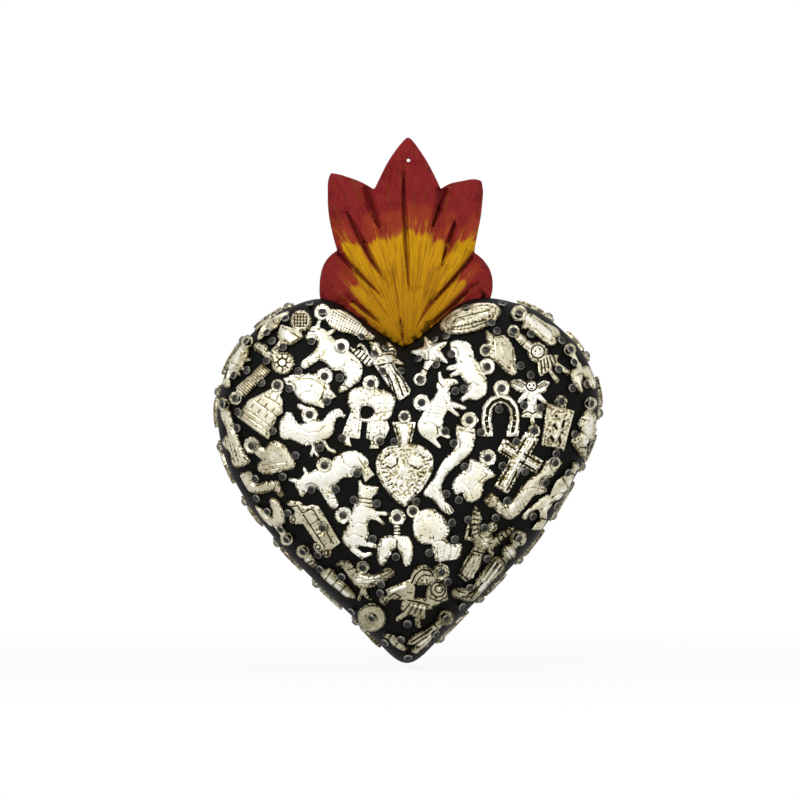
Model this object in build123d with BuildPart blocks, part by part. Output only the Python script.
from build123d import *
from math import cos, pi, sin
import os

os.makedirs("parts", exist_ok=True)

# Driving sizes, in millimetres.
heart_width = 146.7
heart_height = 141.3
heart_depth = 38.0
side_band = 12.0
back_ease = 1.6
flame_tip_thickness = 9.0
flame_root_thickness = 20.0
flame_groove_depth = 1.8
hanging_hole_diameter = 1.6
tenon_width = 12.0
tenon_thickness = 7.0
tenon_length = 15.0
tenon_setback = 2.5
glue_gap = 0.12
charm_thickness = 1.2
seat_gap = 0.1
ring_diameter = 6.2
small_ring_diameter = 4.8
ring_hole_diameter = 2.2
nail_head_diameter = 3.2
nail_head_height = 1.0
nail_shank_diameter = 1.2
nail_length = 6.5
nail_gap = 0.06
side_charm_length = 17.0
side_charm_setback = 6.6
side_charm_reach = 3.0
side_nail_length = 4.5
overrun = 2.0

# Ratios: how full the puffed front is, where its flat crown starts, and how a nail's head is domed.
dome_fullness_share = 2.6
crown_start_share = 0.91
back_ease_share = 0.985
dome_sections = 6
head_rim_share = 0.3
head_shoulder_share = 0.68
head_shoulder_height_share = 0.82
flame_shoulder_share = 0.62

# The front view: where the photograph has the hanging hole and the heart's edges, in its pixels.
hole_px = (408.5, 159.0)
heart_width_px = 380.5
heart_height_px = 366.5
heart_centre_px = (407.0, 455.0)

x_scale = heart_width / heart_width_px
z_scale = heart_height / heart_height_px


def front(point_px):
    """A pixel of the front view as the model's x and z."""
    return ((point_px[0] - hole_px[0]) * x_scale, (hole_px[1] - point_px[1]) * z_scale)


# Outline of the heart, from the cleft round the left lobe, the tip and the right lobe.
cleft_px = (404.0, 347.5)
cleft_left_px = [(370.0, 326.0), (345.0, 308.5), (323.0, 299.0)]
left_side_px = [
    (299.0, 303.5), (270.0, 318.5), (243.0, 343.0), (223.5, 378.0), (217.5, 412.0), (222.0, 448.0),
    (238.0, 487.5), (274.0, 538.0), (328.0, 594.0), (378.0, 642.5),
]
tip_px = [(407.0, 663.5)]
right_side_px = [
    (435.0, 643.5), (478.0, 600.0), (524.0, 553.5), (569.0, 488.0), (593.5, 436.0), (598.5, 400.0),
    (589.0, 364.0), (566.5, 334.0), (537.0, 311.5), (512.0, 302.0),
]
cleft_right_px = [(488.0, 298.0), (461.0, 304.0), (440.0, 321.0), (422.0, 336.0)]
heart_outline_px = [cleft_px] + cleft_left_px + left_side_px + tip_px + right_side_px + cleft_right_px


def heart_section(share, depth):
    """The heart's outline drawn in to a share of its size, at a depth in front of the back."""
    centre = Vector(*front(heart_centre_px))
    points = [centre + (Vector(*front(point)) - centre) * share for point in heart_outline_px]
    with BuildSketch(Plane.XZ.offset(depth)) as section:
        with BuildLine():
            Spline(*points, points[0])
        make_face()
    return section.sketch


def puffed_heart(skin):
    """The whole heart, grown all round by the thickness of a skin."""
    grown_share = 1 + 2 * skin / heart_width
    rise = heart_depth - side_band + skin
    steps = [crown_start_share * step / dome_sections for step in range(dome_sections + 1)]
    with BuildPart() as heart:
        back_edge = heart_section(grown_share * back_ease_share, 0)
        loft([back_edge, heart_section(grown_share, back_ease)], ruled=True)
        extrude(heart_section(grown_share, back_ease), amount=side_band - back_ease)
        dome = []
        for step in steps:
            angle = step * pi / 2
            drawn_in_share = cos(angle) ** (2 / dome_fullness_share)
            raised_share = sin(angle) ** (2 / dome_fullness_share)
            dome.append(heart_section(grown_share * drawn_in_share, side_band + rise * raised_share))
        loft(dome)
    return heart.part


heart_body = puffed_heart(0)
seat_surface = puffed_heart(seat_gap)
plate_surface = puffed_heart(seat_gap + charm_thickness)
plate_shell = plate_surface - seat_surface

# Drawings of the charms on the front. Each curve, limb, ring and disc is in pixels of the front view.
# A limb's third number is its width there, and a disc's is its radius.
charm_drawings_px = {
    "corn_cob": {
        "blobs": [[
            (326, 310), (334, 309.5), (342, 310.8), (351, 315.5), (361, 324), (370, 333), (374.5, 338),
            (372, 340), (362, 337.5), (350, 334), (340, 331), (331, 327), (326, 319),
        ]],
        "rings": [(322.5, 312.5)],
    },
    "chalice": {
        "discs": [(301, 321, 10.3), (283, 363, 11.3), (263, 349, 5), (258, 346.8, 4)],
        "facets": [[(281, 325), (277.5, 336), (281, 342.5), (290.5, 346), (303.5, 337.5), (301, 331),
            (291, 328)]],
        "limbs": [[(283, 342, 7), (273, 354, 6), (277, 361, 10)], [(263, 351, 6), (275, 360, 8)]],
    },
    "lizard": {
        "blobs": [[
            (257.5, 339), (259, 332.5), (263, 326.5), (269, 320.5), (277, 316), (285, 312.5), (289, 312),
            (287.5, 316.5), (281.5, 320), (278.5, 326), (271, 331), (265, 334), (261.5, 339),
        ]],
        "limbs": [[(256, 329.5, 2.5), (262, 323.5, 3), (270, 319.5, 4)]],
    },
    "rim_donkey": {
        "blobs": [[
            (243.5, 345), (248, 347.5), (248.5, 355), (246, 361), (243, 367), (238.5, 371.5), (233, 373.5),
            (230, 379), (230.5, 386.5), (224.5, 387), (222, 383), (226.5, 378), (228.5, 371), (229, 363),
            (234, 355), (239.5, 348),
        ]],
        "limbs": [
            [(245, 360, 4), (250.5, 359.5, 2)], [(241, 367, 4), (245, 370, 2)], [(236, 371, 4),
                (240.5, 375, 2)],
        ],
        "small_rings": [(247, 341.5)],
    },
    "ribbed_comb": {
        "facets": [[(262.5, 363.5), (271, 371.5), (245, 396.5), (236.5, 388)]],
        "limbs": [[(241, 392, 8), (236, 397, 7)]],
        "small_rings": [(236, 398.5)],
    },
    "upper_bull": {
        "blobs": [[
            (318, 341), (322, 335), (329, 335), (336, 342), (346, 350), (356, 357), (362, 366), (362, 375),
            (357, 383), (351, 382), (345, 376), (341, 371), (333, 370), (327, 364), (320, 360), (314, 358),
            (313, 354), (317, 348),
        ]],
        "limbs": [
            [(322, 336, 13), (315, 332.5, 12), (309, 337, 5.5)], [(317, 330, 4.5), (319.5, 321.5, 2.2)],
            [(326, 336, 5), (334, 330.5, 2.5)], [(317, 356, 9), (305, 364.5, 8)],
            [(353, 378, 12), (346, 386, 8), (341.5, 390, 5.5)],
        ],
        "rings": [(341.5, 347)],
    },
    "staff_angel": {
        "blobs": [
            [(351, 347.5), (358, 350), (364, 351.5), (369, 357), (372.5, 364), (370, 366.5),
                (362, 361.5), (355, 355.5)],
            [(377, 354), (384, 352), (391, 354), (394, 360), (392, 366), (385, 369), (378, 366),
                (374, 361)],
            [(388.5, 342.5), (392, 345), (395, 349), (396.3, 354), (394, 358), (390, 356.5), (387, 349.5)],
        ],
        "discs": [(375.5, 347, 4.6)],
        "facets": [[(381, 366), (394, 364), (410.5, 390), (408.5, 395.5), (399.5, 400.5), (391, 388)]],
        "limbs": [
            [(358, 347, 1.8), (360, 344.3, 1.8), (363, 347, 2), (369, 356, 2.6), (378, 368.5, 2.6),
                (390, 386, 2.2)],
            [(376, 349, 6), (382, 356, 9)], [(390, 359, 7), (398, 362, 4), (402, 364, 2.5)],
            [(371, 343, 2.4), (374.5, 345, 3)], [(367, 357, 4), (378, 360, 6)],
        ],
    },
    "chapel": {
        "facets": [[
            (271.5, 389), (262, 394), (249.5, 400), (237, 416.5), (269, 439.5), (277.5, 416), (283, 413),
            (283, 400), (280, 395), (283, 391),
        ]],
        "small_rings": [(278, 385.5)],
    },
    "fish": {
        "blobs": [[
            (285, 378), (295, 375), (307, 374), (319, 375.5), (327, 381.5), (331, 388), (330, 395),
            (324, 401),
            (316, 404.5), (306, 403), (298, 397), (291, 388),
        ]],
        "facets": [[(326, 384), (336.5, 396.5), (331, 399.5), (325.5, 398), (324.5, 408), (311, 404)]],
        "rings": [(325, 376.5)],
    },
    "hen": {
        "blobs": [[
            (280.5, 423), (285, 415), (290, 411.5), (294, 416), (299.5, 424), (310, 421.5), (325, 421),
            (333, 424),
            (334, 432), (327, 439), (316, 443), (301, 444), (292, 439.5), (283.5, 439), (280, 431),
        ]],
        "limbs": [
            [(327, 426, 13), (333, 415.5, 9), (338, 412.5, 8), (343.5, 415.5, 3)], [(306, 409, 4),
                (300.5, 406.5, 5)],
            [(314, 443, 3.4), (314, 449, 3), (311.5, 455, 2.6)], [(314, 449, 3), (318, 455, 2.4)],
            [(323, 440, 3.4), (328.5, 448.5, 3.2), (334, 451, 3.6)],
        ],
        "rings": [(310, 414.5)],
    },
    "standing_couple": {
        "blobs": [[
            (349, 394), (353, 389), (362, 387.5), (376, 389), (388, 392), (395.5, 400), (393.5, 407),
            (391, 416),
            (386, 421), (375, 424), (362, 421), (352, 420), (351, 410), (348, 402),
        ]],
        "facets": [
            [(352, 410), (362, 418), (360, 438.5), (341.5, 436)], [(348, 434), (352, 446.5), (344, 444),
                (345.5, 434)],
            [(368, 420), (386, 418), (389.5, 428), (384.5, 439), (371, 440), (366.5, 437.5)],
            [(373.5, 436), (377, 436), (379, 448), (369.5, 448)],
        ],
        "holes": [[(361, 409), (368, 405.5), (374, 410), (373, 415), (369, 418), (363, 418)]],
        "rings": [(371, 383.5)],
    },
    "robed_figure": {
        "blobs": [[
            (223, 399), (227, 404), (229.5, 410), (233, 421), (236, 432), (240.5, 443), (246, 454),
            (250.5, 461.5),
            (244, 465.5), (237, 467.5), (232.5, 463), (231, 453), (225, 447), (223, 440), (227, 435),
            (226.5, 428),
            (223, 421), (221, 411),
        ]],
        "small_rings": [(223.5, 404.5)],
    },
    "small_heart": {
        "blobs": [[
            (266, 452), (268.5, 444.5), (276, 440.8), (284.5, 445), (291.5, 455), (295.8, 463.5),
            (296.3, 466.5),
            (293.5, 467.8), (286, 469.8), (275, 473.5), (265, 474), (258.5, 469.5), (259.2, 462.5),
            (263.5, 458.5),
        ]],
        "limbs": [[(256, 448, 9), (266, 455, 12)]],
        "rings": [(252.5, 445.5)],
    },
    "lower_bull": {
        "blobs": [[
            (308, 474), (320, 468), (333, 460), (343, 452), (353, 450), (363, 454), (368.5, 462),
            (366, 470),
            (357, 468.5), (352, 477), (345, 477), (338, 482), (330, 487), (322, 490), (314, 487),
            (306, 492),
            (298, 490), (297, 481),
        ]],
        "limbs": [
            [(311, 479, 15), (303, 484.5, 14), (302.5, 492.5, 6)], [(299, 481.5, 5), (290, 479, 2.4)],
            [(308, 477, 5), (304.5, 467.5, 2.2)], [(325, 486, 12), (333.5, 503, 9)],
        ],
        "facets": [[(359, 462), (367, 464), (374.5, 474.5), (370, 477.5), (365.5, 481.5), (361.5, 472)]],
        "rings": [(325, 465)],
    },
    "bent_leg": {
        "blobs": [[
            (241, 473), (246, 471.5), (252, 471.5), (253, 477), (256.5, 483), (264, 482), (273, 480.5),
            (279.5, 481),
            (281, 487), (283.8, 495.5), (281.3, 497), (276.5, 491.3), (266, 492.5), (257, 493.3),
            (250.5, 492),
            (245.5, 485),
        ]],
    },
    "leaf_pair_left": {
        "blobs": [
            [(272.5, 497.5), (278, 499.5), (282, 506), (284.8, 515), (285.5, 521), (281.5, 524.5),
                (277, 522.5),
             (273.5, 517), (271.7, 508)],
            [(256.8, 505.5), (261, 507.5), (268, 514), (273.5, 520), (273, 526), (267, 522.5),
                (261, 515.5)],
        ],
        "limbs": [[(275, 520, 9), (279, 527, 7), (284, 534, 6)]],
        "small_rings": [(287, 539)],
    },
    "truck": {
        "facets": [[
            (286.5, 503), (291, 500.3), (300, 501), (306, 506), (313, 504.3), (319, 505.8),
            (340.5, 542), (331, 549.5),
            (322, 550.5), (303.5, 523), (296, 523.5), (290.5, 517.5), (296, 511),
        ]],
        "discs": [(318.5, 546.5, 5), (327, 552, 4.3), (294, 518.5, 4.3)],
    },
    "llama": {
        "blobs": [[
            (360, 500), (371, 500), (373, 506), (376, 512), (371, 518), (368, 526), (369, 533),
            (366, 540), (358, 546),
            (349, 546), (343, 540), (343, 534), (347, 528), (350, 519), (353, 509),
        ]],
        "limbs": [
            [(366, 503, 14), (365, 491, 13), (371, 489, 8), (376.5, 488.3, 4)], [(362, 488, 5),
                (360, 481, 2.4)],
            [(370, 495.5, 4), (376, 492, 2.2)], [(371, 512.5, 4.5), (386.5, 513, 3.6)],
            [(371, 516.5, 4), (377, 517.5, 3.6), (383, 522.5, 2.6)], [(359, 541, 7), (375, 545, 3.6)],
            [(353, 548, 6), (362, 555, 5.5), (371, 553, 2.6)],
        ],
        "rings": [(343.5, 514.5)],
    },
    "lungs": {
        "blobs": [
            [(391.5, 535), (385, 535.5), (380.5, 539), (378, 547), (377.3, 556), (379.3, 563),
                (382, 565), (386, 561),
             (390, 554.5), (393.5, 548), (396, 541)],
            [(402, 535), (408, 536.3), (411.3, 541), (412.8, 549), (411.8, 558), (409, 564.5), (406, 565.5),
             (403, 560), (400, 552), (397, 543)],
        ],
        "limbs": [[(397, 522, 5), (397, 534, 6), (397, 544, 7)]],
        "rings": [(397, 516.8)],
    },
    "sacred_heart": {
        "blobs": [[
            (404, 444.5), (396, 444.5), (387, 447), (380, 453), (376.3, 462), (377.3, 473),
            (382.5, 484), (391, 495),
            (400, 503.5), (404.5, 506), (409.5, 501.5), (420.5, 490), (429, 477), (432.8, 465), (431, 454),
            (424, 447.5), (414, 444),
        ]],
        "facets": [[(392.5, 422), (415.5, 422), (410, 446), (399, 446)]],
        "small_rings": [(404.5, 416.5)],
    },
    "star": {
        "facets": [[
            (424.8, 336), (433.5, 344), (447.5, 341.8), (440, 350.5), (447.8, 363.5), (436, 360),
            (430, 366),
            (423, 358), (410.5, 352.5), (424, 347.5),
        ]],
        "limbs": [[(431, 358, 9), (425, 370, 4.6), (422, 376, 6)]],
        "small_rings": [(420, 379.5)],
    },
    "bear": {
        "blobs": [[
            (450.5, 343), (455, 340.8), (463, 341.3), (469.5, 344), (472.3, 351), (475.5, 360.5),
            (482, 368),
            (485.8, 380), (486.5, 391), (480, 398.5), (470, 399.5), (466, 396.5), (467.5, 389),
            (463.5, 380),
            (458, 370), (455.5, 359), (451.5, 350.5),
        ]],
        "limbs": [
            [(459, 366.5, 6), (448, 368.3, 3.6)], [(462, 371, 6), (451.5, 375, 3.2)], [(469, 394.5, 7),
                (462.5, 399, 4)],
        ],
        "rings": [(486.5, 367)],
    },
    "dog": {
        "blobs": [[
            (441, 384), (449, 388), (450, 398), (452, 405), (447, 411), (443, 420), (442, 430),
            (436, 438), (427, 438.5),
            (419, 431), (418, 424), (424, 412), (430, 403), (435, 396), (438, 388),
        ]],
        "limbs": [
            [(443, 386, 13), (449, 382.3, 8), (455.5, 382, 4)], [(441, 381, 5), (439.3, 373, 2.2)],
            [(451, 404, 5.5), (464, 408, 3.4)], [(449, 408, 5), (458, 415.5, 2.6)], [(436, 430, 8),
                (448, 436.5, 3.6)],
            [(429, 436, 7), (436, 443, 4), (439, 446.3, 3)],
        ],
        "rings": [(421.5, 402.5)],
    },
    "long_leg": {
        "blobs": [[
            (457.5, 424.5), (466, 427.5), (474.5, 429.5), (474, 440), (471.5, 450), (463.5, 459),
            (453.5, 467),
            (445.5, 475.5), (441.3, 485.5), (442.8, 494), (448.3, 504), (453.3, 511), (450.5, 513.8),
            (444, 511.5),
            (436, 503), (429.5, 497), (423.5, 494.5), (425, 489), (432.5, 480), (438.5, 469), (446, 457.5),
            (454.5, 448), (456.5, 440), (455.5, 431),
        ]],
        "rings": [(469, 420)],
    },
    "oval_medal": {"ovals": [(470.5, 318.8, 31.5, 13.5, 17)]},
    "eye_triangle": {
        "blobs": [[
            (486.8, 331), (492, 334.5), (498, 336.5), (503, 335.5), (509.5, 341.5), (514.3, 352),
            (515.5, 364),
            (516.5, 372.5), (513.5, 375.5), (500, 366.5), (488.5, 355.5), (486.8, 342),
        ]],
        "small_rings": [(485.5, 350.5)],
    },
    "swaddled_baby": {
        "blobs": [[
            (523, 318), (530, 314), (540, 319.3), (550, 325), (558.5, 331), (560, 336), (556, 337.5),
            (556.5, 343),
            (551, 346), (543, 342), (535, 334.5), (528, 329.5), (521, 328.5), (523, 323),
        ]],
        "rings": [(519, 313.5)],
    },
    "doll": {
        "discs": [(536.7, 352.3, 9.8)],
        "facets": [[(545, 355.5), (558, 355.5), (556, 361.5), (556, 364.5), (549, 370.5), (540, 376.5),
            (538, 373), (537, 361)]],
        "limbs": [
            [(515.5, 335, 6), (521.5, 340, 9), (528.5, 346.5, 9)], [(555, 363, 4), (566.3, 372, 4.6)],
            [(549, 369.5, 4), (556, 380, 4.6)],
        ],
        "small_rings": [(513.3, 331.5)],
    },
    "horseshoe": {
        "bands": [([
            (487.3, 433), (485.6, 421), (487.2, 408.5), (492.3, 401.5), (500, 398.8), (508, 401.5),
            (513, 408.5),
            (514.3, 421), (512, 433),
        ], 9)],
        "facets": [
            [(482, 430.5), (492.3, 430.5), (492.3, 436), (482, 436)], [(506.3, 430.5), (518.3, 430.5),
                (517.5, 436.3), (506.3, 436.3)],
        ],
        "rings": [(501, 388.3)],
    },
    "little_angel": {
        "discs": [(530.5, 386, 5.8)],
        "blobs": [
            [(510.3, 381), (516, 379.8), (522, 380.5), (526.5, 386.5), (527, 391), (521, 392.3),
                (514, 389.5)],
            [(548.8, 382), (542, 381), (536, 384.8), (534.5, 390), (541, 393.5), (545, 391), (547.3, 386)],
        ],
        "facets": [[(526.5, 389), (535, 389), (536.3, 407), (542, 413.5), (541, 418), (521, 416.8),
            (522, 412), (526.8, 406)]],
        "limbs": [
            [(527, 393, 6), (519, 401, 3.6)], [(534.5, 393, 6), (544, 402, 3.6)], [(531.3, 416, 3),
                (532, 422, 4.2)],
        ],
    },
    "cross": {
        "facets": [
            [(525, 431.5), (538, 439.2), (507.3, 493.5), (494, 485.7)], [(503.5, 438.3), (542.7, 460.7),
                (535.6, 473), (496.3, 450.8)],
        ],
        "small_rings": [(533.5, 430.5)],
    },
    "framed_plaque": {
        "facets": [
            [(546, 403.5), (573.5, 410.5), (563.3, 450.5), (541, 445)], [(554.5, 407), (555.5, 401),
                (560, 396.5), (565.5, 402.5), (565, 409)],
        ],
        "small_rings": [(560.3, 401.5)],
    },
    "hips": {
        "blobs": [[
            (471, 459), (478, 461), (485, 464), (490, 469.5), (494.8, 475.5), (488, 479), (483, 484),
            (481.3, 494),
            (475, 500.5), (467.5, 501), (463.2, 496), (461.5, 492), (457.5, 494.5), (452.7, 490),
            (452.5, 483),
            (456.3, 476.5), (463, 471), (468, 465),
        ]],
        "rings": [(487, 457.5)],
    },
    "leaf_pair_right": {
        "blobs": [
            [(570.5, 372), (575, 368), (580, 369), (582.3, 380), (581, 393.5), (577, 389), (572, 382)],
            [(583, 367), (587, 366), (591, 370), (594, 377), (595.5, 386), (594, 389.5), (590, 386),
                (586, 379.5), (581.5, 372)],
        ],
        "limbs": [[(572, 354, 5), (576, 360, 3.6), (580, 369, 5)]],
        "small_rings": [(569.8, 349.8)],
    },
    "right_rim_toad": {
        "blobs": [[
            (589, 409.5), (594, 411.5), (596, 421), (595.5, 432), (592, 440), (587.5, 446.5),
            (586.5, 454), (583.5, 457.5),
            (578, 452.5), (573, 445.5), (570.3, 440.8), (576, 436), (580, 430.5), (577.5, 424), (582, 415),
        ]],
        "small_rings": [(590.5, 403.5)],
    },
    "bent_arm": {
        "blobs": [[
            (551, 458.5), (557.5, 460.5), (556.5, 468), (551, 476.5), (543.5, 479.5), (541, 484),
            (546.5, 488.7),
            (543.5, 492.5), (535, 494.3), (527, 503.5), (519, 512.5), (511, 518.5), (503, 516.5),
            (495, 509.7),
            (485, 503), (482.8, 499.5), (487, 496), (490.5, 492.3), (497, 497.3), (508, 504),
            (513.5, 497), (521.5, 486.5),
            (531.5, 476.5), (541.5, 469),
        ]],
        "small_rings": [(554.5, 462.5)],
    },
    "runner": {
        "discs": [(575.3, 466.5, 4)],
        "facets": [
            [(566, 474), (571.5, 478.5), (569, 489), (562, 496.5), (553, 503), (549, 498),
                (551.5, 490.5), (556.5, 480.5)],
            [(538.5, 499.5), (547, 494.5), (556, 499), (549, 508), (545, 512.5), (540.5, 514),
                (537.5, 508)],
            [(531.5, 529.3), (537.5, 521.5), (542.5, 525), (541, 530)],
        ],
        "limbs": [
            [(574, 469, 5), (569.5, 478, 6)], [(540, 503.5, 6), (532, 508.5, 5), (524, 516.5, 5)],
            [(543, 509, 7), (543.3, 519, 6.5), (540.5, 526, 5)],
        ],
    },
    "winged_figure": {
        "discs": [(491.3, 526, 4.6)],
        "blobs": [
            [(476, 505), (479, 511), (481.3, 519), (479.5, 527), (478, 536), (472.5, 540), (471, 530),
                (471.3, 518)],
            [(477, 532), (483, 531), (490, 532.5), (493, 538), (492, 547), (485, 550), (477, 548),
                (473.5, 543)],
            [(491, 541), (499, 532), (507, 528.3), (514, 525.8), (512, 531.5), (504, 538), (496, 545),
                (491, 547)],
        ],
        "facets": [[(474, 546), (485, 550), (481.5, 560), (478, 569), (469, 579), (465.5, 581),
            (457.8, 574.5), (463, 563), (469, 553)]],
        "limbs": [
            [(468.3, 524.5, 2.2), (466.5, 533, 2.2), (466, 537.5, 3.6), (474, 539.5, 3)],
                [(490, 528, 5), (487, 534, 6)],
            [(489.5, 547, 6), (491.5, 555, 4)],
        ],
    },
    "veiled_head": {
        "blobs": [
            [(418, 511), (425, 508), (433, 508.5), (439.5, 513.5), (445, 519), (448.3, 525),
                (449.3, 530), (446.5, 536),
             (440.5, 540), (432.5, 543), (424.5, 543.5), (417, 539.5), (413.3, 531), (413.3, 520)],
            [(433, 540), (440, 536), (447, 540), (453, 544), (458.5, 542.3), (461.5, 546), (460.5, 552),
                (457.5, 557.5),
             (451, 558.8), (443, 560.5), (436, 560), (433.5, 552)],
        ],
        "small_rings": [(413, 510.5)],
    },
    "kneeling_figure": {
        "discs": [(508.5, 552, 7.4)],
        "blobs": [[
            (499, 556), (504, 561), (504, 569), (499, 575.5), (491, 582.5), (483, 590.5), (475, 599),
            (467.5, 601.5),
            (460, 598.5), (452, 595.5), (451, 591.5), (457, 586.8), (464, 588), (471, 588.5),
            (475.5, 581), (480.5, 573),
            (487, 565),
        ]],
        "limbs": [[(509, 551, 7), (515.5, 543.5, 6)], [(507, 554, 7), (501, 563, 8)]],
        "rings": [(518.3, 538)],
    },
    "rooster": {
        "blobs": [[
            (350, 571), (358, 571), (368, 573), (377, 573), (385, 567.5), (392, 568.5), (395.5, 572.5),
            (389, 577.5),
            (380, 582.5), (371, 586.5), (362, 587.5), (354, 583.5), (350.5, 577),
        ]],
        "limbs": [
            [(354, 575, 10), (346, 564, 9), (341, 562, 5), (337.5, 564.3, 2)], [(363, 586, 4),
                (361, 594, 3), (359, 599, 2.4)],
            [(364, 588, 4), (366, 595, 3.2), (370, 598.5, 2.4)],
        ],
        "small_rings": [(363, 566.5)],
    },
    "dancing_couple": {
        "blobs": [
            [(411, 580), (411.5, 572), (415.5, 566.5), (421.5, 564), (428, 565.5), (433, 570),
                (437, 577), (430, 583),
             (420, 584.5)],
            [(428, 584), (436, 579.5), (442, 581.5), (446.5, 586), (447, 593), (447.5, 599), (441, 602),
                (434, 605.5),
             (427, 600), (425.5, 592)],
            [(404, 599), (413, 597.5), (422, 597), (432, 603), (432.5, 608), (427, 609), (425.5, 616),
                (423.5, 619),
             (416, 617), (408, 612.5), (401, 608.5), (401, 605)],
        ],
        "facets": [[(385, 589), (393, 585.5), (404, 581), (412, 577.5), (415, 588), (413, 600),
            (403, 598), (396, 599.5), (389, 595)]],
        "discs": [(384, 599.5, 4.2)],
        "limbs": [
            [(385, 598.5, 5), (391, 595, 6)], [(406, 612, 5), (397.5, 618.5, 3.6)], [(417, 616, 5),
                (418, 624, 4.6)],
        ],
        "rings": [(441.3, 571.3)],
    },
    "plain_disc": {"discs": [(372, 617.5, 13.8)]},
    "tip_pilgrim": {
        "blobs": [[
            (438, 623), (440, 626), (437.5, 632), (432, 638), (429, 644), (421.5, 649.5), (413, 653),
            (411, 650),
            (415.5, 645), (407.5, 643), (410, 638.5), (418, 632.5), (428, 627.5),
        ]],
        "limbs": [[(434, 628, 9), (441, 621.5, 6)]],
        "rings": [(445.5, 617.5)],
    },
    "tip_horn": {"limbs": [[(385.5, 635.5, 4), (391, 637, 7), (397.5, 643.5, 7), (404, 648.3, 4)]]},
    "lower_left_man": {
        "blobs": [[
            (321, 571.5), (325.5, 568.3), (332, 568.8), (336, 573.5), (340, 578.5), (346, 583.5),
            (350.5, 588.5),
            (355, 594), (355.5, 597.5), (350, 597.5), (343.5, 594.5), (336.5, 588.5), (329, 583),
            (323.5, 578),
        ]],
    },
    "swaddled_doll": {
        "discs": [(309, 558.3, 4.8)],
        "limbs": [[(309, 558, 8), (313.5, 563.5, 6.5)]],
        "small_rings": [(303.3, 551.3)],
    },
}

# Nails beside the charms, whose heads lap over a charm's edge, in pixels of the front view.
left_edge_nails_px = [
    (310, 303.8), (286, 319), (267.3, 333), (272.5, 341.3), (283.5, 347.3), (312, 341.5), (361, 337.3),
    (374.5, 354), (385, 348.5), (401, 371), (382.5, 371.5), (299, 371.5), (340, 378), (267, 361),
    (247.5, 370.5), (234.5, 375.5), (262.3, 383), (290, 388.5), (327.3, 401.5), (238.5, 412), (237.8, 428),
    (273.5, 431), (342.3, 438), (380.3, 441), (394.5, 441.5), (320.3, 447.5), (296, 455), (283.3, 476.3),
    (256, 478.5), (357.3, 473), (311.8, 489), (336, 488.8), (354.2, 499.3), (377, 503), (257, 498),
    (268, 511), (288.5, 512.5), (323, 527), (281, 528.5), (372.8, 538), (318.3, 554.3), (320.3, 568.5),
    (342, 576.3), (396, 556), (381.3, 583.5), (380.3, 592.3), (352, 611), (372, 617.5), (385.5, 642),
]
right_edge_nails_px = [
    (502, 304), (466, 307.5), (491, 323), (496.5, 331.3), (446.3, 336.5), (435, 340), (530.3, 334.5),
    (451.3, 354.3), (419, 359), (436, 365), (561, 341), (573.5, 362.5), (520, 366), (530, 375.3),
    (558, 369.5),
    (463.3, 389), (455, 391), (585.8, 384.5), (571.5, 388.3), (523.5, 405.5), (539.8, 408), (498.5, 409.3),
    (445, 431), (480.5, 432), (574, 434), (515.8, 441.5), (453.3, 443), (590.3, 445.5), (555.5, 453.3),
    (502, 465.5), (464.3, 466.3), (446, 493.3), (458.5, 499.5), (524.5, 471.3), (506.5, 500.3),
    (544.8, 482),
    (567.3, 472.5), (556, 505.3), (532.5, 516), (451.8, 522), (467.8, 519), (495, 517), (483.8, 527),
    (454.5, 538.5), (429, 552), (486.8, 558), (447.3, 581), (469, 587), (416, 501), (407.5, 623),
    (461.5, 606),
    (435.5, 633.5), (401, 638.8), (408, 657),
]


# Drawings of the charms on the side wall, in hundredths of their length. The long way lies along the wall.
side_drawings = {
    "leaf": {
        "blobs": [[(-30, 0), (-18, -14), (6, -21), (32, -13), (50, 0), (32, 13), (6, 21), (-18, 14)]],
        "limbs": [[(-38, 0, 9), (-22, 0, 9)]],
        "small_rings": [(-40, 0)],
    },
    "leg": {
        "limbs": [[(-36, -10, 24), (-14, -4, 21), (6, 3, 17), (30, -6, 13), (42, -11, 12)],
            [(40, -10, 12), (45, 9, 9)]],
        "small_rings": [(-40, 9)],
    },
    "heart": {
        "blobs": [[
            (-14, 0), (-22, -10), (-18, -24), (-2, -28), (18, -20), (36, -6), (44, 0), (36, 6),
            (18, 20), (-2, 28),
            (-18, 24), (-22, 10),
        ]],
        "limbs": [[(-34, 0, 12), (-8, 0, 12)]],
        "small_rings": [(-38, 0)],
    },
    "arm": {
        "limbs": [[(-42, 11, 16), (-20, -3, 19), (-4, -14, 16), (18, -4, 14), (34, 6, 13)],
            [(32, 5, 16), (44, 12, 12)]],
        "small_rings": [(-40, 14)],
    },
    "star": {
        "facets": [[
            (40, 0), (18, 8), (17, 27), (2, 13), (-16, 22), (-8, 0), (-16, -22), (2, -13), (17, -27),
            (18, -8),
        ]],
        "limbs": [[(-30, 0, 10), (-6, 0, 14)]],
        "small_rings": [(-30, 0)],
    },
    "cross": {
        "facets": [[(-34, -7), (44, -7), (44, 7), (-34, 7)], [(-6, -26), (8, -26), (8, 26), (-6, 26)]],
        "small_rings": [(-36, 0)],
    },
    "medal": {
        "ovals": [(8, 0, 34, 24, 0)],
        "limbs": [[(-36, 0, 10), (-20, 0, 10)]],
        "small_rings": [(-38, 0)],
    },
    "fish": {
        "blobs": [[(-28, 0), (-12, -15), (8, -18), (26, -7), (34, 0), (26, 7), (8, 18), (-12, 15)]],
        "facets": [[(26, 0), (46, -18), (42, 0), (46, 18)]],
        "limbs": [[(-38, 0, 9), (-22, 0, 12)]],
        "small_rings": [(-38, 0)],
    },
}

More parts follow.
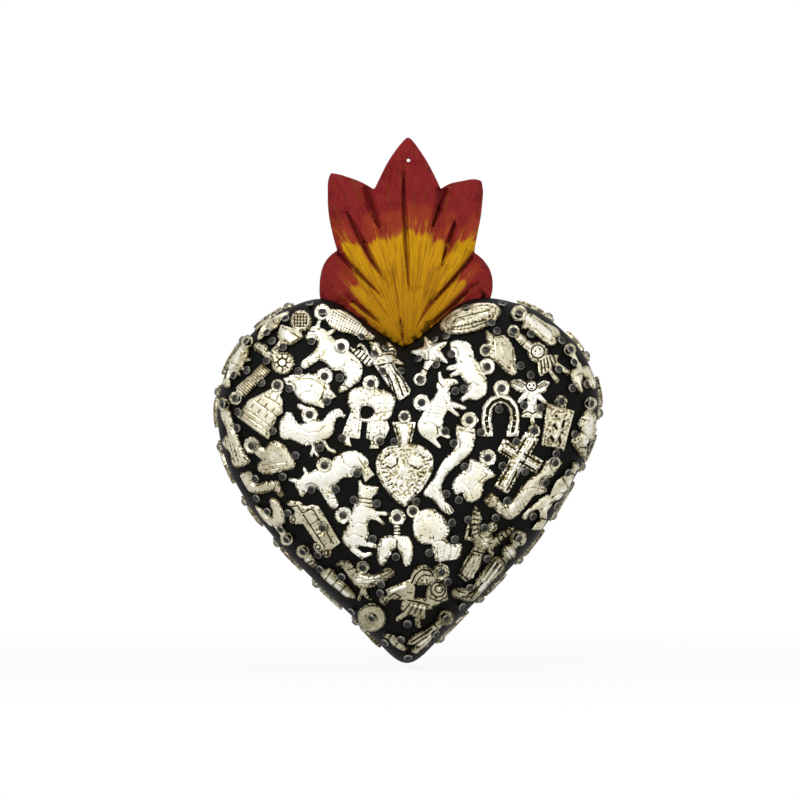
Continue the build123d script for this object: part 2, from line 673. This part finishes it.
# Where each charm sits on the side wall: its drawing, and how far round the outline it is from the cleft.
left_side_charms = [
    ("leaf", 0.125), ("arm", 0.172), ("heart", 0.219), ("leg", 0.266), ("star", 0.313), ("fish", 0.360),
    ("cross", 0.407), ("medal", 0.454),
]
right_side_charms = [
    ("leg", 0.546), ("heart", 0.593), ("leaf", 0.640), ("arm", 0.687), ("medal", 0.734), ("fish", 0.781),
    ("star", 0.828), ("cross", 0.875),
]


def limb(stops, mode=Mode.ADD):
    """A tapering stroke from stop to stop, with round ends. A stop is its place and its width."""
    for (start, start_width), (end, end_width) in zip(stops, stops[1:]):
        start_radius, end_radius = start_width / 2, end_width / 2
        along = (end - start).normalized()
        aside = Vector(-along.Y, along.X)
        with BuildLine() as edge:
            Line(start + aside * start_radius, end + aside * end_radius)
            ThreePointArc(end + aside * end_radius, end + along * end_radius, end - aside * end_radius)
            Line(end - aside * end_radius, start - aside * start_radius)
            ThreePointArc(
                start - aside * start_radius, start - along * start_radius, start + aside * start_radius
            )
        make_face(edge.edges(), mode=mode)


def closed_shape(points, smooth, mode=Mode.ADD):
    """A closed outline through its points, curved or with straight sides."""
    with BuildLine() as edge:
        if smooth:
            Spline(*points, periodic=True)
        else:
            Polyline(*points, close=True)
    make_face(edge.edges(), mode=mode)


def ring_spots(drawing):
    """The places of a drawing's hanging rings."""
    return drawing.get("rings", []) + drawing.get("small_rings", [])


def draw_charm(drawing, place, unit):
    """The outline of a charm, its lengths in units of this many millimetres."""
    for curve in drawing.get("blobs", []):
        closed_shape([Vector(*place(point)) for point in curve], True)
    for corners in drawing.get("facets", []):
        closed_shape([Vector(*place(point)) for point in corners], False)
    for stops in drawing.get("limbs", []):
        limb([(Vector(*place(stop)), stop[2] * unit) for stop in stops])
    for centre_x, centre_y, radius in drawing.get("discs", []):
        with Locations(place((centre_x, centre_y))):
            Circle(radius * unit)
    for centre_x, centre_y, half_length, half_width, tilt in drawing.get("ovals", []):
        with Locations(Location((*place((centre_x, centre_y)), 0), (0, 0, tilt))):
            Ellipse(half_length * unit, half_width * unit)
    for points, width in drawing.get("bands", []):
        with BuildLine() as middle_line:
            Spline(*[place(point) for point in points])
        trace(middle_line.line, width * unit)
    for spot in drawing.get("rings", []):
        with Locations(place(spot)):
            Circle(ring_diameter / 2)
    for spot in drawing.get("small_rings", []):
        with Locations(place(spot)):
            Circle(small_ring_diameter / 2)
    for curve in drawing.get("holes", []):
        closed_shape([Vector(*place(point)) for point in curve], True, Mode.SUBTRACT)


def seat_from(ray):
    """Where a ray first meets the charms' face, as a nail's place with +Z along the outward normal."""
    point, normal = plate_surface.find_intersection_points(ray)[0]
    if normal.dot(ray.direction) > 0:
        normal = -normal
    return Location(Plane(origin=point + normal * nail_gap, z_dir=normal))


def front_seat(spot_px):
    """The nail's place that the front view shows at a pixel."""
    x, z = front(spot_px)
    return seat_from(Axis((x, -2 * heart_depth, z), (0, 1, 0)))


def pierce(seats, hole_diameter):
    """Cut the nails' way through a charm, drawn in front view and as long as the nails lean."""
    for seat in seats:
        top = seat.position
        foot = (seat * Location((0, 0, -charm_thickness - seat_gap))).position
        start, end = Vector(top.X, top.Z), Vector(foot.X, foot.Z)
        if (end - start).length > nail_gap:
            limb([(start, hole_diameter), (end, hole_diameter)], Mode.SUBTRACT)
        else:
            with Locations(start):
                Circle(hole_diameter / 2, mode=Mode.SUBTRACT)


def near(seats, drawing, own_seats):
    """Those of the other nails that may reach into the outline of a charm being drawn."""
    box = drawing.bounding_box()
    reach = nail_head_diameter
    return [
        seat for seat in seats
        if box.min.X - reach < seat.position.X < box.max.X + reach
        and box.min.Y - reach < seat.position.Z < box.max.Y + reach
        and seat not in own_seats
    ]


# Places of all nails on the front.
ring_seats = {
    name: [front_seat(spot) for spot in ring_spots(drawing)] for name, drawing in charm_drawings_px.items()
}
left_edge_seats = [front_seat(spot) for spot in left_edge_nails_px]
right_edge_seats = [front_seat(spot) for spot in right_edge_nails_px]
all_ring_seats = [seat for seats in ring_seats.values() for seat in seats]
front_seats = all_ring_seats + left_edge_seats + right_edge_seats

# Charms on the front, one piece each, cast to the heart's curve.
for charm_name, charm_drawing in charm_drawings_px.items():
    with BuildPart() as front_charm:
        with BuildSketch(Plane.XZ.offset(side_band)) as charm_outline:
            draw_charm(charm_drawing, front, x_scale)
            edge_seats = near(front_seats, charm_outline.sketch_local, ring_seats[charm_name])
            pierce(ring_seats[charm_name], ring_hole_diameter)
            pierce(edge_seats, nail_shank_diameter + 2 * nail_gap)
        extrude(amount=heart_depth)
        add(plate_shell, mode=Mode.INTERSECT)
    front_charm.part.label = charm_name
    export_step(front_charm.part, f"parts/{charm_name}.step")

# Charms on the side wall, each on the plane that touches the outline there.
side_wall = heart_section(1, side_charm_setback).faces()[0].outer_wire()
side_unit = side_charm_length / 100


def side_place(spot):
    """A side drawing's spot in millimetres."""
    return (spot[0] * side_unit, spot[1] * side_unit)


def side_plane(share):
    """The plane just outside the wall, this far round it, with +Z outward."""
    along = side_wall.tangent_at(share)
    outward = Vector(0, 1, 0).cross(along).normalized()
    on_wall = side_wall.position_at(share)
    middle_x, middle_z = front(heart_centre_px)
    if outward.dot(on_wall - Vector(middle_x, 0, middle_z)) < 0:
        outward = -outward
    return Plane(origin=on_wall + outward * side_charm_reach, x_dir=along, z_dir=outward)


def side_group(charms):
    """The side charms of one half, with the places of their nails."""
    bodies = []
    seats = []
    for drawing_name, share in charms:
        drawing = side_drawings[drawing_name]
        plane = side_plane(share)
        for spot in ring_spots(drawing):
            outside = plane.from_local_coords(Vector(*side_place(spot))) + plane.z_dir * overrun
            seats.append(seat_from(Axis(outside, -plane.z_dir)))
        with BuildPart() as side_charm:
            with BuildSketch(plane):
                draw_charm(drawing, side_place, side_unit)
                with Locations(*[side_place(spot) for spot in ring_spots(drawing)]):
                    Circle(ring_hole_diameter / 2, mode=Mode.SUBTRACT)
            extrude(amount=-2 * side_charm_reach)
            add(plate_shell, mode=Mode.INTERSECT)
        bodies.append(side_charm.part)
    return bodies, seats


left_bodies, left_seats = side_group(left_side_charms)
right_bodies, right_seats = side_group(right_side_charms)

with BuildPart() as side_charms_left:
    add(left_bodies)
side_charms_left.part.label = "side_charms_left"
export_step(side_charms_left.part, "parts/side_charms_left.step")

with BuildPart() as side_charms_right:
    add(right_bodies)
side_charms_right.part.label = "side_charms_right"
export_step(side_charms_right.part, "parts/side_charms_right.step")


def nail(length):
    """A round-headed nail, its head's underside at the origin and its point down."""
    head_radius = nail_head_diameter / 2
    shank_radius = nail_shank_diameter / 2
    shoulder_radius = head_radius * head_shoulder_share
    rim_height = nail_head_height * head_rim_share
    shoulder_height = nail_head_height * head_shoulder_height_share
    upward = (Align.CENTER, Align.CENTER, Align.MIN)
    downward = (Align.CENTER, Align.CENTER, Align.MAX)
    with BuildPart() as body:
        Cylinder(head_radius, rim_height, align=upward)
        with Locations((0, 0, rim_height)):
            Cone(head_radius, shoulder_radius, shoulder_height - rim_height, align=upward)
        with Locations((0, 0, shoulder_height)):
            Cone(shoulder_radius, shank_radius, nail_head_height - shoulder_height, align=upward)
        Cylinder(shank_radius, length - nail_shank_diameter, align=downward)
        with Locations((0, 0, nail_shank_diameter - length)):
            Cone(0, shank_radius, nail_shank_diameter, align=downward)
    return body.part


# Nails, in groups: through the charms' rings, beside the charms, and on the side wall.
front_nail = nail(nail_length)
side_nail = nail(side_nail_length)

with BuildPart() as ring_nails:
    with Locations(*all_ring_seats):
        add(front_nail)
ring_nails.part.label = "ring_nails"
export_step(ring_nails.part, "parts/ring_nails.step")

with BuildPart() as edge_nails_left:
    with Locations(*left_edge_seats):
        add(front_nail)
edge_nails_left.part.label = "edge_nails_left"
export_step(edge_nails_left.part, "parts/edge_nails_left.step")

with BuildPart() as edge_nails_right:
    with Locations(*right_edge_seats):
        add(front_nail)
edge_nails_right.part.label = "edge_nails_right"
export_step(edge_nails_right.part, "parts/edge_nails_right.step")

with BuildPart() as side_nails:
    with Locations(*left_seats, *right_seats):
        add(side_nail)
side_nails.part.label = "side_nails"
export_step(side_nails.part, "parts/side_nails.step")

# Flame: its outline in the front view, its grooves, and its slope from the thin tips to the thick root.
flame_tip_px = (408.0, 137.0)
flame_edges_px = [
    [(404.0, 362.0), (325.0, 311.0)],
    [
        (325.0, 311.0), (320.5, 302.0), (319.2, 290.0), (319.8, 277.5), (323.0, 265.0), (329.0, 256.0),
        (337.0, 250.0),
    ],
    [
        (337.0, 250.0), (331.0, 228.0), (327.6, 206.0), (327.3, 187.0), (329.6, 176.0), (334.5, 173.3),
        (345.0, 175.0), (359.0, 180.0), (374.0, 188.5),
    ],
    [(374.0, 188.5), (380.5, 175.0), (388.5, 159.5), (398.0, 145.8), (406.5, 137.6), flame_tip_px],
    [flame_tip_px, (409.8, 137.6), (417.5, 145.5), (426.5, 159.0), (433.8, 172.5), (441.0, 188.0)],
    [
        (441.0, 188.0), (451.0, 182.3), (465.0, 179.3), (478.0, 179.0), (482.0, 183.5), (483.1, 198.0),
        (481.6, 213.0), (478.5, 230.0), (474.5, 252.0),
    ],
    [(474.5, 252.0), (484.0, 259.8), (490.5, 270.0), (493.0, 281.5), (491.9, 294.0), (488.0, 305.0)],
    [(488.0, 305.0), (404.0, 362.0)],
]
flame_grooves_px = [
    [(403.5, 170, 1.6), (404, 205, 5), (406.5, 245, 6), (409, 290, 2)],
    [(364.5, 188, 4), (370, 206, 6.5), (379, 227, 2.5)],
    [(447, 189, 4), (440.5, 206, 6), (433, 226, 2.5)],
    [(347, 212, 2), (362, 240, 6), (371, 257, 6), (382, 276, 2)],
    [(455, 222, 3), (449, 242, 7), (442, 265, 2.5)],
    [(338.5, 254, 4), (355, 270, 5), (379, 293, 2)],
    [(472.5, 257, 4), (455, 277, 5), (435, 299, 3)],
    [(352, 301, 3), (366, 311, 4), (378, 321, 2)],
    [(474, 285, 2), (452, 306, 4), (429, 324, 2)],
    [(401, 324, 2), (403, 338, 2.6)],
]
tenon_top_px = (406.0, 334.0)
flame_top = front(flame_tip_px)[1]
flame_root = front(cleft_px)[1]
flame_shoulder = flame_root * flame_shoulder_share
flame_reach = heart_width


def flame_slope(drawn_back):
    """The flame's side profile, as wide as the heart, drawn back from its front face."""
    tip = flame_tip_thickness - drawn_back
    root = flame_root_thickness - drawn_back
    with BuildPart() as slope:
        with BuildSketch(Plane.YZ):
            with BuildLine():
                Polyline((-tip, 0), (-tip, flame_top + overrun), (0, flame_top + overrun))
                Polyline((0, flame_top + overrun), (0, flame_root - overrun), (-root, flame_root - overrun))
                Spline(
                    (-root, flame_root - overrun), ((-tip - root) / 2, flame_shoulder), (-tip, 0),
                    tangents=[(0, 1), (0, 1)],
                )
            make_face()
        extrude(amount=flame_reach, both=True)
    return slope.part


tenon_top_x, tenon_top_z = front(tenon_top_px)
tenon_spot = (tenon_top_x, -tenon_setback, tenon_top_z)
mortise_spot = (tenon_top_x, glue_gap - tenon_setback, tenon_top_z)
tenon_align = (Align.CENTER, Align.MAX, Align.MAX)

with BuildPart() as flame_grooves:
    with BuildSketch(Plane.XZ):
        for groove_px in flame_grooves_px:
            limb([(Vector(*front(stop)), stop[2] * x_scale) for stop in groove_px])
    extrude(amount=flame_root_thickness + overrun)
    add(flame_slope(flame_groove_depth), mode=Mode.SUBTRACT)

with BuildPart() as flame:
    with BuildSketch(Plane.XZ):
        with BuildLine():
            for edge_px in flame_edges_px:
                stops = [Vector(*front(point)) for point in edge_px]
                if len(stops) > 2:
                    Spline(*stops)
                else:
                    Line(*stops)
        make_face()
    extrude(amount=flame_root_thickness)
    add(flame_slope(0), mode=Mode.INTERSECT)
    add(flame_grooves.part, mode=Mode.SUBTRACT)
    extrude(heart_section(1 + 2 * glue_gap / heart_width, 0), amount=heart_depth, mode=Mode.SUBTRACT)
    with Locations(tenon_spot):
        Box(tenon_width, tenon_thickness, tenon_length, align=tenon_align)
    with Locations(Plane.XZ):
        Cylinder(hanging_hole_diameter / 2, 2 * heart_depth, mode=Mode.SUBTRACT)
flame.part.label = "flame"
export_step(flame.part, "parts/flame.step")

# Heart: the carved body, its mortise for the flame and the nails' pilot holes.
with BuildPart() as heart_core:
    add(heart_body)
    with Locations(mortise_spot):
        Box(
            tenon_width + 2 * glue_gap, tenon_thickness + 2 * glue_gap, tenon_length + glue_gap,
            align=tenon_align, mode=Mode.SUBTRACT,
        )
    with Locations(*front_seats):
        Cylinder(
            nail_shank_diameter / 2 + nail_gap, nail_length + nail_gap,
            align=(Align.CENTER, Align.CENTER, Align.MAX), mode=Mode.SUBTRACT,
        )
    with Locations(*left_seats, *right_seats):
        Cylinder(
            nail_shank_diameter / 2 + nail_gap, side_nail_length + nail_gap,
            align=(Align.CENTER, Align.CENTER, Align.MAX), mode=Mode.SUBTRACT,
        )
heart_core.part.label = "heart_core"
export_step(heart_core.part, "parts/heart_core.step")
